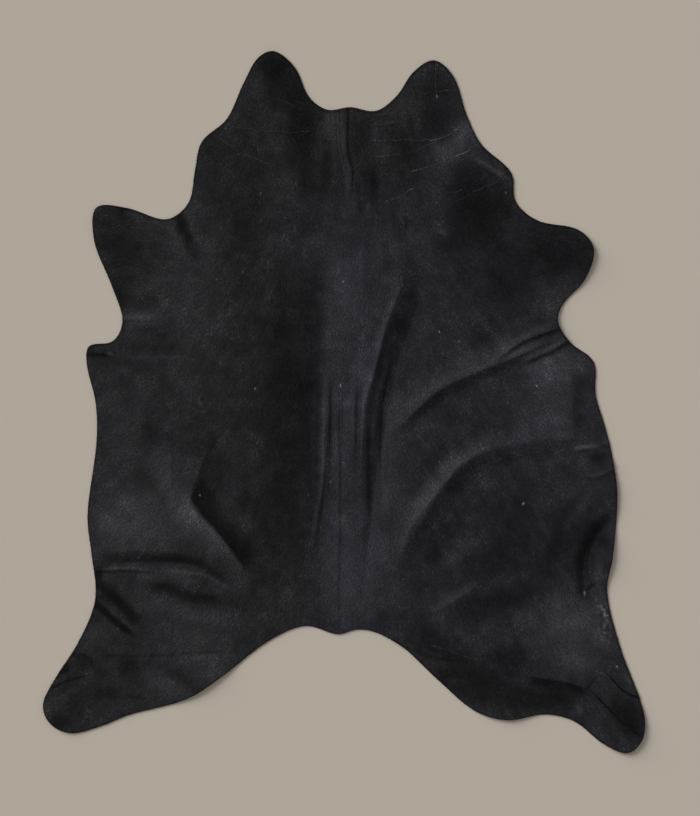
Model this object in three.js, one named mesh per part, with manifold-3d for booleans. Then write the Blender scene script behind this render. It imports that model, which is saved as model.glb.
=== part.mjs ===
// A cowhide rug: one whole dressed hide with its hair on, lying hair side up on a floor.
// Millimetres, +Z up. The origin is on the floor under the middle of the hide.
// +Y points to the neck, and +X to the right of someone who looks down with the neck ahead.
import * as THREE from "three";
import { mergeVertices } from "three/addons/utils/BufferGeometryUtils.js";
import Module from "manifold-3d";

// Driving dimensions
const SKIN = 2; // tanned skin, from its flesh side to the roots of the hair
const COAT = 2; // short hair, lying flat on the skin
const SHEET = SKIN + COAT;
const GRID_STEP = 34; // between neighbouring points of the sheet
const DRAW = GRID_STEP / 3; // points nearer than this to a crest are drawn onto it
const RIM_STEP = 20; // between neighbouring points along the cut edge
const CREST_STEPS = 24; // straight steps that stand for one fold's curved crest
const FADE = 0.3; // share of a fold's length over which it rises at either end
const TRIM = 60; // how far the untrimmed sheet reaches past the cut edge
const DEEP = 100; // depth of the blocks that the sheet is cut from

// The knife line, clockwise as seen from above. A smooth closed curve runs through the landmarks.
// landmark, x across from the middle, y along the body
const OUTLINE = [
  ["neck middle", 18, 900],
  ["right neck dip", 97, 887],
  ["right point foot", 162, 935],
  ["right point inner side", 210, 1005],
  ["right point tip", 274, 1043],
  ["right point outer side", 332, 996],
  ["right neck side", 374, 875],
  ["right neck hollow", 418, 787],
  ["right neck bulge", 511, 698],
  ["right neck foot", 522, 613],
  ["right fore shank root", 586, 555],
  ["right fore shank top", 717, 524],
  ["right fore shank tip", 762, 467],
  ["right fore shank underside", 734, 372],
  ["right armpit side", 668, 299],
  ["right armpit", 651, 250],
  ["right armpit lip", 686, 185],
  ["right belly corner", 761, 124],
  ["right belly top", 767, 21],
  ["right belly shoulder", 796, -76],
  ["right belly", 819, -171],
  ["right belly widest", 833, -287],
  ["right lower belly", 819, -473],
  ["right flank", 802, -573],
  ["right thigh", 843, -750],
  ["right hind shank side", 903, -909],
  ["right hind shank end", 918, -979],
  ["right hind shank corner", 906, -1037],
  ["right hind shank tip", 866, -1071],
  ["right hind shank inside", 790, -1042],
  ["right hock", 702, -973],
  ["right hock hollow", 616, -952],
  ["right heel", 500, -970],
  ["right inner heel", 403, -944],
  ["right inner thigh", 281, -842],
  ["right rump side", 177, -746],
  ["right rump", 85, -698],
  ["right of the tail", 34, -694],
  ["tail root", -17, -709],
  ["left rump", -116, -682],
  ["left rump side", -226, -726],
  ["left inner thigh", -372, -837],
  ["left heel", -476, -904],
  ["left hock", -659, -955],
  ["left hind shank inside", -738, -987],
  ["left hind shank tip", -836, -1010],
  ["left hind shank corner", -898, -979],
  ["left hind shank end", -918, -924],
  ["left hind shank side", -884, -849],
  ["left thigh", -808, -729],
  ["left flank", -758, -601],
  ["left lower belly", -770, -461],
  ["left belly widest", -782, -351],
  ["left belly", -754, -116],
  ["left belly shoulder", -757, -3],
  ["left belly top", -785, 121],
  ["left belly corner", -778, 172],
  ["left armpit lip", -705, 184],
  ["left armpit", -675, 244],
  ["left fore shank underside", -708, 354],
  ["left fore shank side", -762, 494],
  ["left fore shank tip", -755, 594],
  ["left fore shank top", -662, 592],
  ["left fore shank root", -537, 557],
  ["left neck foot", -474, 607],
  ["left neck side", -454, 708],
  ["left neck bulge", -434, 794],
  ["left neck hollow", -358, 862],
  ["left point outer side", -307, 971],
  ["left point shoulder", -261, 1051],
  ["left point tip", -215, 1071],
  ["left point inner side", -149, 1020],
  ["left point foot", -107, 930],
  ["left neck dip", -49, 890],
].map(([landmark, x, y]) => ({ landmark, x, y }));

// Folds that were pressed into the hide and now stand up off the floor.
// A smooth crest runs through the points of its row, from the first to the last.
// Going that way, the sheet falls to the floor over one slope on the left and one on the right.
// A small roundness makes a sharp crest. A foot of 1 meets the floor sharply, and one of 2 softly.
// fold, rise, left slope, right slope, roundness, foot, points along the crest
const FOLDS = [
  ["upper belly fold", 14, 75, 38, 0.12, 1.6,
    [110, -120], [183, -55], [232, -9], [293, 43], [354, 73], [476, 122], [598, 174], [690, 215]],
  ["lower belly fold", 16, 62, 60, 0.12, 1.6,
    [150, -540], [171, -470], [235, -360], [317, -238], [400, -162], [500, -132], [620, -116], [760, -105]],
  ["fold beside the withers", 13, 70, 66, 0.12, 1.2,
    [60, -480], [52, -240], [54, -120], [82, 52], [116, 183], [165, 311], [180, 420], [190, 560]],
  ["ridge of the spine", 4, 26, 15, 0.25, 1.6, [-105, -520], [-67, -253], [-52, -85], [-49, 160]],
  ["left back swell", 4, 90, 60, 0.8, 2, [-135, -330], [-145, 5], [-135, 405]],
  ["ridge of the neck", 3, 65, 9, 0.15, 1.6, [8, 640], [0, 708], [-12, 769], [-18, 830], [-20, 1000]],
  ["left flank swell", 18, 190, 74, 0.2, 1.25,
    [-287, -537], [-372, -421], [-430, -354], [-465, -308], [-468, -275], [-445, -225], [-412, -125]],
  ["foot of the swell", 12, 100, 36, 0.2, 1.6,
    [-790, -460], [-592, -451], [-470, -460], [-409, -488], [-350, -560]],
  ["thigh fold", 8, 44, 36, 0.3, 1.6, [-600, -530], [-470, -549], [-393, -573], [-280, -620]],
  ["flank tuck", 8, 24, 22, 0.2, 1.4, [-800, -555], [-714, -598], [-677, -634], [-610, -690]],
  ["lower flank tuck", 8, 20, 22, 0.2, 1.4, [-800, -610], [-726, -665], [-689, -695], [-630, -750]],
  ["left shoulder fold", 5, 40, 44, 0.8, 2, [-205, 200], [-215, 310], [-205, 420]],
  ["left back fold", 4, 40, 40, 0.8, 2, [-215, -105], [-225, -25], [-215, 55]],
  ["left fore shank fold", 7, 44, 38, 0.5, 2, [-460, 420], [-500, 530], [-535, 630]],
  ["right flank ridge", 9, 70, 42, 0.6, 1, [715, -650], [702, -497], [720, -421], [755, -360], [830, -290]],
  ["right hock fold", 8, 44, 60, 0.15, 1.6, [420, -800], [567, -836], [659, -857], [770, -890]],
  ["rump fold", 5, 40, 34, 0.4, 2, [100, -695], [230, -735], [385, -775]],
].map(([fold, rise, left, right, roundness, foot, ...points]) => {
  const curve = new THREE.SplineCurve(points.map(([x, y]) => new THREE.Vector2(x, y)));
  return { fold, rise, left, right, roundness, foot, crest: curve.getSpacedPoints(CREST_STEPS) };
});

// Places on the cut edge where the dry skin curls up a little.
// curl, x, y, rise, reach
const CURLS = [
  ["left point", -220, 1090, 5, 120],
  ["right point", 285, 1060, 5, 120],
  ["left fore shank", -770, 580, 6, 140],
  ["right fore shank", 775, 455, 8, 160],
  ["right armpit", 650, 230, 5, 90],
  ["right belly", 845, -270, 6, 120],
  ["right flank", 820, -480, 8, 110],
  ["right hind shank", 910, -1045, 8, 160],
  ["right heel", 490, -995, 6, 130],
  ["left heel", -400, -895, 8, 150],
  ["left hind shank", -910, -955, 6, 150],
].map(([curl, x, y, rise, reach]) => ({ curl, x, y, rise, reach }));

// A soft bump: 1 at the middle, 0 with no slope from one reach away
function bump(distance, reach) {
  const t = Math.min(distance / reach, 1);
  return (1 - t * t) ** 2;
}

// The point of a crest that is nearest to a place, how far off and on which side the place lies,
// and what share of the crest comes before that point
function nearestOnCrest(crest, place) {
  let nearest = { distance: Infinity };
  for (let i = 0; i < CREST_STEPS; i++) {
    const run = crest[i + 1].clone().sub(crest[i]);
    const away = place.clone().sub(crest[i]);
    const share = THREE.MathUtils.clamp(away.dot(run) / run.lengthSq(), 0, 1);
    const point = crest[i].clone().addScaledVector(run, share);
    const distance = point.distanceTo(place);
    if (distance < nearest.distance) {
      nearest = { point, distance, onLeft: run.cross(away) > 0, along: (i + share) / CREST_STEPS };
    }
  }
  return nearest;
}

// What is left of a fold's rise beside its crest: 1 on the crest, 0 from one slope away
function fall(distance, slope, roundness, foot) {
  const t = Math.min(distance / slope, 1);
  const rounded = (Math.hypot(t, roundness) - roundness) / (Math.hypot(1, roundness) - roundness);
  return (1 - rounded) ** foot;
}

// How high one fold lifts the sheet at a place
function foldLift({ crest, rise, left, right, roundness, foot }, place) {
  const { distance, onLeft, along } = nearestOnCrest(crest, place);
  const { smoothstep } = THREE.MathUtils;
  const ends = smoothstep(along, 0, FADE) * smoothstep(1 - along, 0, FADE);
  return rise * ends * fall(distance, onLeft ? left : right, roundness, foot);
}

// How high one curl lifts the sheet at a place
function curlLift({ x, y, rise, reach }, place) {
  return rise * bump(Math.hypot(place.x - x, place.y - y), reach);
}

// Height of the hide's flesh side above the floor. It is 0 wherever the hide lies flat.
function lift(place) {
  const folds = FOLDS.map((fold) => foldLift(fold, place));
  const curls = CURLS.map((curl) => curlLift(curl, place));
  return [...folds, ...curls].reduce((sum, height) => sum + height, 0);
}

// A place close to a crest moves onto it, so that the sheet bends along the crest.
function drawnToCrest(place) {
  const near = FOLDS.map(({ crest }) => nearestOnCrest(crest, place));
  const nearest = near.reduce((best, next) => (next.distance < best.distance ? next : best));
  return nearest.distance < DRAW ? nearest.point : place;
}

// Points along the cut edge
function cutEdge() {
  const landmarks = OUTLINE.map(({ x, y }) => new THREE.Vector3(x, y, 0));
  const knifeLine = new THREE.CatmullRomCurve3(landmarks, true, "centripetal");
  const steps = Math.round(knifeLine.getLength() / RIM_STEP);
  return knifeLine.getSpacedPoints(steps).slice(0, -1);
}

// The ground under the hide: a deep block whose top is the flat floor and the form of the folds
function foldedGround(bounds) {
  const size = bounds.getSize(new THREE.Vector3()).addScalar(2 * TRIM);
  const middle = bounds.getCenter(new THREE.Vector3());
  const columns = Math.round(size.x / GRID_STEP);
  const rows = Math.round(size.y / GRID_STEP);
  const ground = new THREE.BoxGeometry(size.x, size.y, DEEP, columns, rows, 1);
  ground.translate(middle.x, middle.y, -DEEP / 2);
  const points = ground.attributes.position;
  for (let i = 0; i < points.count; i++) {
    if (points.getZ(i) === 0) {
      const place = drawnToCrest(new THREE.Vector2(points.getX(i), points.getY(i)));
      points.setXYZ(i, place.x, place.y, lift(place));
    }
  }
  return ground;
}

// A straight-sided block on the knife line, as deep below the floor as it is high above it
function trimmingBlock(edge) {
  const outline = new THREE.Shape(edge.map(({ x, y }) => new THREE.Vector2(x, y)));
  const block = new THREE.ExtrudeGeometry(outline, { depth: DEEP, bevelEnabled: false });
  return block.translate(0, 0, -DEEP / 2);
}

const wasm = await Module();
wasm.setup();

function solidOf(geometry) {
  const bare = geometry.clone().deleteAttribute("normal").deleteAttribute("uv");
  const merged = mergeVertices(bare);
  const vertProperties = merged.attributes.position.array;
  const triVerts = new Uint32Array(merged.index.array);
  return new wasm.Manifold(new wasm.Mesh({ numProp: 3, vertProperties, triVerts }));
}

function geometryOf(solid) {
  const { vertProperties, triVerts } = solid.getMesh();
  const geometry = new THREE.BufferGeometry();
  geometry.setAttribute("position", new THREE.BufferAttribute(vertProperties, 3));
  geometry.setIndex(new THREE.BufferAttribute(triVerts, 1));
  geometry.computeVertexNormals();
  return geometry;
}

// The hide: what lies within one thickness of the ground, trimmed along the knife line
function hide() {
  const edge = cutEdge();
  const ground = foldedGround(new THREE.Box3().setFromPoints(edge));
  const raised = ground.clone().translate(0, 0, SHEET);
  const trimmed = solidOf(raised).intersect(solidOf(trimmingBlock(edge))).subtract(solidOf(ground));
  const blackHair = new THREE.MeshStandardMaterial({ color: 0x232325, roughness: 0.72, metalness: 0 });
  const mesh = new THREE.Mesh(geometryOf(trimmed), blackHair);
  mesh.name = "hide";
  return mesh;
}

const cowhideRug = new THREE.Group();
cowhideRug.add(hide());

export default cowhideRug;
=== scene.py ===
# %% [markdown]
# A black cowhide rug
#
# The rug is one whole cattle hide, tanned with its short hair on and laid flat on a floor. Nothing is
# sewn to it: a knife line round the neck, shanks and rump is its only edge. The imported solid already
# holds that outline and the main folds, so this lesson loads it first and builds everything on it.

import bmesh
import bpy
import numpy as np
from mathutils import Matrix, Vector
from mathutils.kdtree import KDTree


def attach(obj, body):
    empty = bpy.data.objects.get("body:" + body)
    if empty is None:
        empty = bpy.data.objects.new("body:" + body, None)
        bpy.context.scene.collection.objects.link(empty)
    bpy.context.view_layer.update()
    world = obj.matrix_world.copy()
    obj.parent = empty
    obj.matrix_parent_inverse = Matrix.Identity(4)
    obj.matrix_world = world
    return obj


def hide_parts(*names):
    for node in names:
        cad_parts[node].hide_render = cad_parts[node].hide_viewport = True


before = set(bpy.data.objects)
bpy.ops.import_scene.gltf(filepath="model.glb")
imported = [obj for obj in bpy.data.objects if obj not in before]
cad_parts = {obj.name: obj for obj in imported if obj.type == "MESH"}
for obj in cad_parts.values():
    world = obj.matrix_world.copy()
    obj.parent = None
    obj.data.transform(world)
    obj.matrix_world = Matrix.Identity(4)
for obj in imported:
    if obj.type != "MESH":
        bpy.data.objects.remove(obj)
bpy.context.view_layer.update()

# %% [markdown]
# The camera
#
# The photograph looks straight down on the hide. A short lens would lean the edges outwards, so a long
# lens hangs high above the floor. The hide's middle lies a little off the picture's middle, and the
# camera moves aside by the same amount instead of using a lens shift.

# %% Camera over the hide
MM = 0.001
PHOTO_WIDTH = 700
PHOTO_HEIGHT = 816
MIDDLE_PIXEL = (344, 402)
PIXEL = 3.05 * MM
CAMERA_HEIGHT = 8.0
SENSOR = 36.0

scene = bpy.context.scene
camera = bpy.data.objects.new("camera", bpy.data.cameras.new("camera"))
scene.collection.objects.link(camera)
scene.camera = camera
camera.location.x = (PHOTO_WIDTH / 2 - MIDDLE_PIXEL[0]) * PIXEL
camera.location.y = (MIDDLE_PIXEL[1] - PHOTO_HEIGHT / 2) * PIXEL
camera.location.z = CAMERA_HEIGHT
camera.data.sensor_fit = "VERTICAL"
camera.data.sensor_height = SENSOR
camera.data.lens = SENSOR * CAMERA_HEIGHT / (PHOTO_HEIGHT * PIXEL)
print("lens, in millimetres:", round(camera.data.lens, 1))

# %% [markdown]
# Floor and light
#
# Black hair shows its form only where light rakes across it. One soft sun comes low from the upper left,
# as in the photograph, so each fold has a lit side and a dark side. A dim sky fills the shadows.
# The floor is plain and pale, and it isn't part of the rug.

# %% Floor
FLOOR_HALF = 60.0
FLOOR_DROP = 1 * MM
FLOOR_COLOUR = (0.46, 0.413, 0.35, 1)
FLOOR_ROUGHNESS = 0.9


def plain_material(name, colour, roughness):
    material = bpy.data.materials.new(name)
    material.use_nodes = True
    shader = material.node_tree.nodes["Principled BSDF"]
    shader.inputs["Base Color"].default_value = colour
    shader.inputs["Roughness"].default_value = roughness
    return material


def new_object(name, mesh):
    piece = bpy.data.objects.new(name, mesh)
    scene.collection.objects.link(piece)
    return piece


floor_shape = bmesh.new()
bmesh.ops.create_grid(floor_shape, x_segments=1, y_segments=1, size=FLOOR_HALF)
bmesh.ops.translate(floor_shape, vec=(0, 0, -FLOOR_DROP), verts=floor_shape.verts[:])
floor_mesh = bpy.data.meshes.new("floor")
floor_shape.to_mesh(floor_mesh)
floor_shape.free()
floor = new_object("floor", floor_mesh)
floor_mesh.materials.append(plain_material("pale floor", FLOOR_COLOUR, FLOOR_ROUGHNESS))
print("floor,", 2 * FLOOR_HALF, "m wide")

# %% Sun and sky
SUN_AZIMUTH = np.radians(142)
SUN_HEIGHT = np.radians(21)
SUN_STRENGTH = 4.2
SUN_SPREAD = np.radians(40)
SKY_COLOUR = (1.0, 0.98, 0.96, 1)
SKY_STRENGTH = 0.42

to_sun = Vector((
    np.cos(SUN_AZIMUTH) * np.cos(SUN_HEIGHT),
    np.sin(SUN_AZIMUTH) * np.cos(SUN_HEIGHT),
    np.sin(SUN_HEIGHT),
))
sun = bpy.data.objects.new("sun", bpy.data.lights.new("sun", "SUN"))
scene.collection.objects.link(sun)
sun.rotation_euler = to_sun.to_track_quat("Z", "Y").to_euler()
sun.data.energy = SUN_STRENGTH
sun.data.angle = SUN_SPREAD

sky = bpy.data.worlds.new("sky")
sky.use_nodes = True
sky.node_tree.nodes["Background"].inputs["Color"].default_value = SKY_COLOUR
sky.node_tree.nodes["Background"].inputs["Strength"].default_value = SKY_STRENGTH
scene.world = sky
scene.view_settings.view_transform = "Standard"
print("light comes from", [round(part, 2) for part in to_sun])

# %% [markdown]
# Folds, creases and curls
#
# A hide that was rolled or folded for transport keeps soft ridges when it is laid out, and its dry edge
# curls. They could be simulated, but these stand where the photograph shows them, so each one is a row:
# a crest through a few points, how high it rises, and how far it falls away on either side. The large
# folds are the solid's own. The creases below them are too small for the solid.

# %% Folds of the solid
# fold, rise, left slope, right slope, roundness of the crest, softness of the foot, points along the crest
FOLDS = [
    ("upper belly fold", 14, 75, 38, 0.12, 1.6,
     (110, -120), (183, -55), (232, -9), (293, 43), (354, 73), (476, 122), (598, 174), (690, 215)),
    ("lower belly fold", 16, 62, 60, 0.12, 1.6,
     (150, -540), (171, -470), (235, -360), (317, -238), (400, -162), (500, -132), (620, -116), (760, -105)),
    ("fold beside the withers", 13, 70, 66, 0.12, 1.2,
     (60, -480), (52, -240), (54, -120), (82, 52), (116, 183), (165, 311), (180, 420), (190, 560)),
    ("ridge of the spine", 4, 26, 15, 0.25, 1.6, (-105, -520), (-67, -253), (-52, -85), (-49, 160)),
    ("left back swell", 4, 90, 60, 0.8, 2, (-135, -330), (-145, 5), (-135, 405)),
    ("ridge of the neck", 3, 65, 9, 0.15, 1.6, (8, 640), (0, 708), (-12, 769), (-18, 830), (-20, 1000)),
    ("left flank swell", 18, 190, 74, 0.2, 1.25,
     (-287, -537), (-372, -421), (-430, -354), (-465, -308), (-468, -275), (-445, -225), (-412, -125)),
    ("foot of the swell", 12, 100, 36, 0.2, 1.6,
     (-790, -460), (-592, -451), (-470, -460), (-409, -488), (-350, -560)),
    ("thigh fold", 8, 44, 36, 0.3, 1.6, (-600, -530), (-470, -549), (-393, -573), (-280, -620)),
    ("flank tuck", 8, 24, 22, 0.2, 1.4, (-800, -555), (-714, -598), (-677, -634), (-610, -690)),
    ("lower flank tuck", 8, 20, 22, 0.2, 1.4, (-800, -610), (-726, -665), (-689, -695), (-630, -750)),
    ("left shoulder fold", 5, 40, 44, 0.8, 2, (-205, 200), (-215, 310), (-205, 420)),
    ("left back fold", 4, 40, 40, 0.8, 2, (-215, -105), (-225, -25), (-215, 55)),
    ("left fore shank fold", 7, 44, 38, 0.5, 2, (-460, 420), (-500, 530), (-535, 630)),
    ("right flank ridge", 9, 70, 42, 0.6, 1, (715, -650), (702, -497), (720, -421), (755, -360), (830, -290)),
    ("right hock fold", 8, 44, 60, 0.15, 1.6, (420, -800), (567, -836), (659, -857), (770, -890)),
    ("rump fold", 5, 40, 34, 0.4, 2, (100, -695), (230, -735), (385, -775)),
]
# curl, rise, reach, middle
CURLS = [
    ("left point", 5, 120, (-220, 1090)),
    ("right point", 5, 120, (285, 1060)),
    ("left fore shank", 6, 140, (-770, 580)),
    ("right fore shank", 8, 160, (775, 455)),
    ("right armpit", 5, 90, (650, 230)),
    ("right belly", 6, 120, (845, -270)),
    ("right flank", 8, 110, (820, -480)),
    ("right hind shank", 8, 160, (910, -1045)),
    ("right heel", 6, 130, (490, -995)),
    ("left heel", 8, 150, (-400, -895)),
    ("left hind shank", 6, 150, (-910, -955)),
]
print(len(FOLDS), "folds and", len(CURLS), "curls of the solid")

# %% Creases too small for the solid
# crease, rise, left slope, right slope, roundness of the crest, softness of the foot, points along the crest
CREASES = [
    ("second fold beside the withers", 3, 16, 14, 0.2, 1.6,
     (82, -150), (95, -85), (107, 6), (122, 67), (156, 160)),
    ("middle spine crease", 1.8, 16, 9, 0.2, 1.6, (-12, -600), (-15, -238), (-18, -85), (-18, 80)),
    ("right spine crease", 2.5, 26, 18, 0.2, 1.6, (34, -150), (31, -40), (34, 6), (46, 85)),
    ("upper armpit crease", 5, 24, 18, 0.2, 1.6, (450, 125), (512, 168), (552, 192), (598, 210), (690, 240)),
    ("lower armpit crease", 5, 18, 16, 0.2, 1.6, (520, 110), (598, 146), (637, 162), (720, 215)),
    ("crease under the armpit", 3, 40, 40, 0.5, 2, (340, 20), (430, 75), (520, 100), (600, 115)),
    ("thigh crease", 4, 12, 12, 0.2, 1.6, (-790, -515), (-653, -509), (-540, -520)),
    ("left armpit crease", 2.5, 14, 14, 0.4, 2, (-700, 245), (-640, 255), (-560, 250)),
    ("left belly tuck", 2.5, 16, 14, 0.4, 2, (-800, 140), (-750, 150), (-690, 160)),
    ("belly edge wrinkle", 2.5, 18, 16, 0.4, 2, (690, -150), (760, -135), (830, -125)),
    ("lower edge wrinkle", 2.5, 16, 18, 0.3, 1.6,
     (705, -215), (729, -220), (775, -220), (817, -192), (850, -165)),
    ("rump crease", 2.5, 14, 14, 0.4, 2, (130, -715), (250, -765), (370, -790)),
    ("upper shank crack", 2.5, 14, 12, 0.4, 2,
     (785, -812), (811, -838), (849, -877), (891, -897), (935, -905)),
    ("shank crack", 2.5, 14, 12, 0.4, 2, (735, -862), (781, -909), (804, -932), (842, -970), (920, -1030)),
    ("left shank crease", 2.5, 18, 16, 0.4, 2, (-890, -800), (-820, -795), (-760, -830)),
    ("left hock crease", 2.5, 18, 16, 0.4, 2, (-720, -900), (-640, -890), (-560, -915)),
]
print(len(CREASES), "creases of the skin")

# %% Smooth lines
SPAN_STEPS = 8


def smooth_line(points):
    """A smooth line through a few points given in millimetres, as many short steps in metres."""
    knots = np.array(points, float) * MM
    padded = np.vstack([knots[:1], knots, knots[-1:]])
    share = np.linspace(0, 1, SPAN_STEPS, endpoint=False)[:, None]
    spans = []
    for before, start, end, after in zip(padded, padded[1:], padded[2:], padded[3:]):
        leave = (end - before) / 2
        arrive = (after - start) / 2
        bend = 3 * (end - start) - 2 * leave - arrive
        spans.append(start + leave * share + bend * share**2 + (end - start - leave - bend) * share**3)
    return np.vstack([*spans, knots[-1:]])


def nearest_on_line(line, places):
    """Distance from each place to a line, if it lies on the left, and the share of the line before it."""
    runs = np.diff(line, axis=0)
    lengths = np.linalg.norm(runs, axis=1)
    before = np.cumsum(lengths) - lengths
    distance = np.full(len(places), np.inf)
    on_left = np.zeros(len(places), bool)
    along = np.zeros(len(places))
    for start, run, length, passed in zip(line, runs, lengths, before):
        away = places - start
        share = np.clip(away @ run / length**2, 0, 1)
        here = np.linalg.norm(away - share[:, None] * run, axis=1)
        nearer = here < distance
        distance[nearer] = here[nearer]
        on_left[nearer] = (run[0] * away[:, 1] - run[1] * away[:, 0] > 0)[nearer]
        along[nearer] = ((passed + share * length) / lengths.sum())[nearer]
    return distance, on_left, along


print("each span of a line has", SPAN_STEPS, "steps")

# %% Cross-section of a fold
FADE = 0.3


def smooth(share):
    """Eases a share of 0 to 1, so that it starts and ends level."""
    return share * share * (3 - 2 * share)


def soft_step(share):
    """Rises smoothly from 0 at the end of a line to 1 where its fade is over."""
    return smooth(np.clip(share / FADE, 0, 1))


def bump(distance, reach):
    """1 at the middle, and 0 with no slope from one reach away."""
    share = np.minimum(distance / reach, 1)
    return (1 - share * share) ** 2


def fall(distance, reach, roundness, foot):
    """1 at a crest and 0 from one reach away. A foot of 1 meets the floor sharply, and one of 2 softly."""
    share = np.minimum(distance / reach, 1)
    rounded = (np.hypot(share, roundness) - roundness) / (np.hypot(1, roundness) - roundness)
    return (1 - rounded) ** foot


print("a fold fades over", FADE, "of its length at each end")


# %% Height of the hide
def ridge(places, rise, left, right, roundness, foot, *points):
    """How high one fold or crease lifts each place."""
    line = smooth_line(points)
    reach = max(left, right) * MM
    near = ((places > line.min(0) - reach) & (places < line.max(0) + reach)).all(1)
    height = np.zeros(len(places))
    if near.any():
        distance, on_left, along = nearest_on_line(line, places[near])
        slope = np.where(on_left, left, right) * MM
        height[near] = rise * MM * soft_step(along) * soft_step(1 - along)
        height[near] *= fall(distance, slope, roundness, foot)
    return height


def lift(places):
    """Height of the flesh side above the floor."""
    height = np.zeros(len(places))
    for name, *shape in FOLDS + CREASES:
        height += ridge(places, *shape)
    for name, rise, reach, middle in CURLS:
        distance = np.linalg.norm(places - np.array(middle) * MM, axis=1)
        height += rise * MM * bump(distance, reach * MM)
    return height


print("height over the origin, in metres:", round(float(lift(np.zeros((1, 2)))[0]), 4))

# %% [markdown]
# The skin
#
# The visible hide is a thin sheet on the solid's folds. Its outline is read off the solid: with every
# face but the top ones gone and those joined into one, the loop round that face is the knife line.
# A flat face with that outline is then cut into small squares and lifted onto the folds. Cutting keeps
# the true edge, which a plain grid would turn into steps. Each corner takes the lowest height around it,
# so that no square stands out of the coat at a sharp crest. A copy that drops by the thickness of tanned
# skin closes the sheet underneath.

# %% Knife line from the solid
WELD = 0.01 * MM
LEVEL = 0.5  # upward part of a face's direction, past which it counts as lying level
RIM_STEP = 5 * MM
RIM_ROUNDS = 4


def distances_along(line):
    """How far from the start of a line each of its points lies."""
    return np.concatenate([[0], np.cumsum(np.linalg.norm(np.diff(line, axis=0), axis=1))])


def at_distances(stops, passed, values):
    """Values that are known at some distances along a line, at other distances."""
    return np.stack([np.interp(stops, passed, values[:, axis]) for axis in (0, 1)], axis=1)


top = bmesh.new()
top.from_mesh(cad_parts["hide"].data)
bmesh.ops.remove_doubles(top, verts=top.verts[:], dist=WELD)
top.normal_update()
bmesh.ops.delete(top, geom=[face for face in top.faces if face.normal.z < LEVEL], context="FACES")
bmesh.ops.dissolve_faces(top, faces=top.faces[:])
loop = np.array([vertex.co.xy for vertex in max(top.faces, key=lambda face: len(face.verts)).verts])
top.free()

closed = np.vstack([loop, loop[:1]])
passed = distances_along(closed)
steps = np.arange(0, passed[-1], passed[-1] / round(passed[-1] / RIM_STEP))
rim = at_distances(steps, passed, closed)
for _ in range(RIM_ROUNDS):
    rim = (np.roll(rim, 1, axis=0) + 2 * rim + np.roll(rim, -1, axis=0)) / 4
print("knife line:", len(rim), "points,", round(passed[-1], 3), "m round")

# %% Sheet cut into squares
GRID_STEP = 8 * MM
SLIVER = 0.4 * MM


def cut_in_strips(sheet, axis, step):
    """Cuts the faces of a flat sheet along evenly spaced lines across one axis."""
    way = Vector((axis == 0, axis == 1, 0))
    places = [vertex.co[axis] for vertex in sheet.verts]
    ahead = sheet.faces[:]
    for line in np.arange(min(places) + step / 2, max(places), step):
        edges = list({edge for face in ahead for edge in face.edges})
        vertices = list({vertex for face in ahead for vertex in face.verts})
        cut = bmesh.ops.bisect_plane(sheet, geom=vertices + edges + ahead, plane_co=way * line, plane_no=way)
        faces = [part for part in cut["geom"] if isinstance(part, bmesh.types.BMFace)]
        ahead = [face for face in faces if face.calc_center_median()[axis] > line]


sheet = bmesh.new()
sheet.faces.new([sheet.verts.new((x, y, 0)) for x, y in rim])
flat_area = sum(face.calc_area() for face in sheet.faces)
cut_in_strips(sheet, 0, GRID_STEP)
cut_in_strips(sheet, 1, GRID_STEP)
bmesh.ops.remove_doubles(sheet, verts=sheet.verts[:], dist=SLIVER)
cut_area = sum(face.calc_area() for face in sheet.faces)
print(len(sheet.faces), "squares, area", round(flat_area, 4), "m2, after cutting", round(cut_area, 4))

# %% Folded skin
SKIN = 2 * MM

half = GRID_STEP / 2
spots = np.array([vertex.co.xy for vertex in sheet.verts])
around = [(0, 0), (half, 0), (-half, 0), (0, half), (0, -half)]
heights = np.min([lift(spots + aside) for aside in around], axis=0)
for vertex, height in zip(sheet.verts, heights):
    vertex.co.z = height + SKIN
bmesh.ops.recalc_face_normals(sheet, faces=sheet.faces[:])
if sum(face.normal.z for face in sheet.faces) < 0:
    bmesh.ops.reverse_faces(sheet, faces=sheet.faces[:])
sheet.verts.index_update()
top_points = np.array([vertex.co for vertex in sheet.verts])
triangles = sheet.calc_loop_triangles()
top_triangles = np.array([[corner.vert.index for corner in triangle] for triangle in triangles])

under = bmesh.ops.extrude_face_region(sheet, geom=sheet.faces[:])
under_points = [part for part in under["geom"] if isinstance(part, bmesh.types.BMVert)]
bmesh.ops.translate(sheet, vec=(0, 0, -SKIN), verts=under_points)
bmesh.ops.recalc_face_normals(sheet, faces=sheet.faces[:])
many_sided = [face for face in sheet.faces if len(face.verts) > 4]
bmesh.ops.triangulate(sheet, faces=many_sided)
skin_mesh = bpy.data.meshes.new("hide_skin")
sheet.to_mesh(skin_mesh)
sheet.free()
hide = new_object("hide_skin", skin_mesh)
print("skin up to", round(heights.max() + SKIN, 4), "m high,", len(skin_mesh.polygons), "faces")

# %% [markdown]
# Leather under the hair
#
# Where the hair parts, at the knife line and underneath, tanned leather shows: dyed skin on top, raw
# fibres at the cut and brushed suede on the flesh side. All three share one fibrous mottling, so the
# pattern is a node group, and each finish gives it its own grain, colours and relief.

# %% Fibre pattern of leather
FINE_GRAIN = 6
CLOUD_DETAIL = 5
THREAD_TWIST = 0.8


def link(tree, *wires):
    """Joins nodes: the node that gives, its output, the node that takes, its input."""
    for giver, output, taker, socket in wires:
        tree.links.new(giver.outputs[output], taker.inputs[socket])


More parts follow.
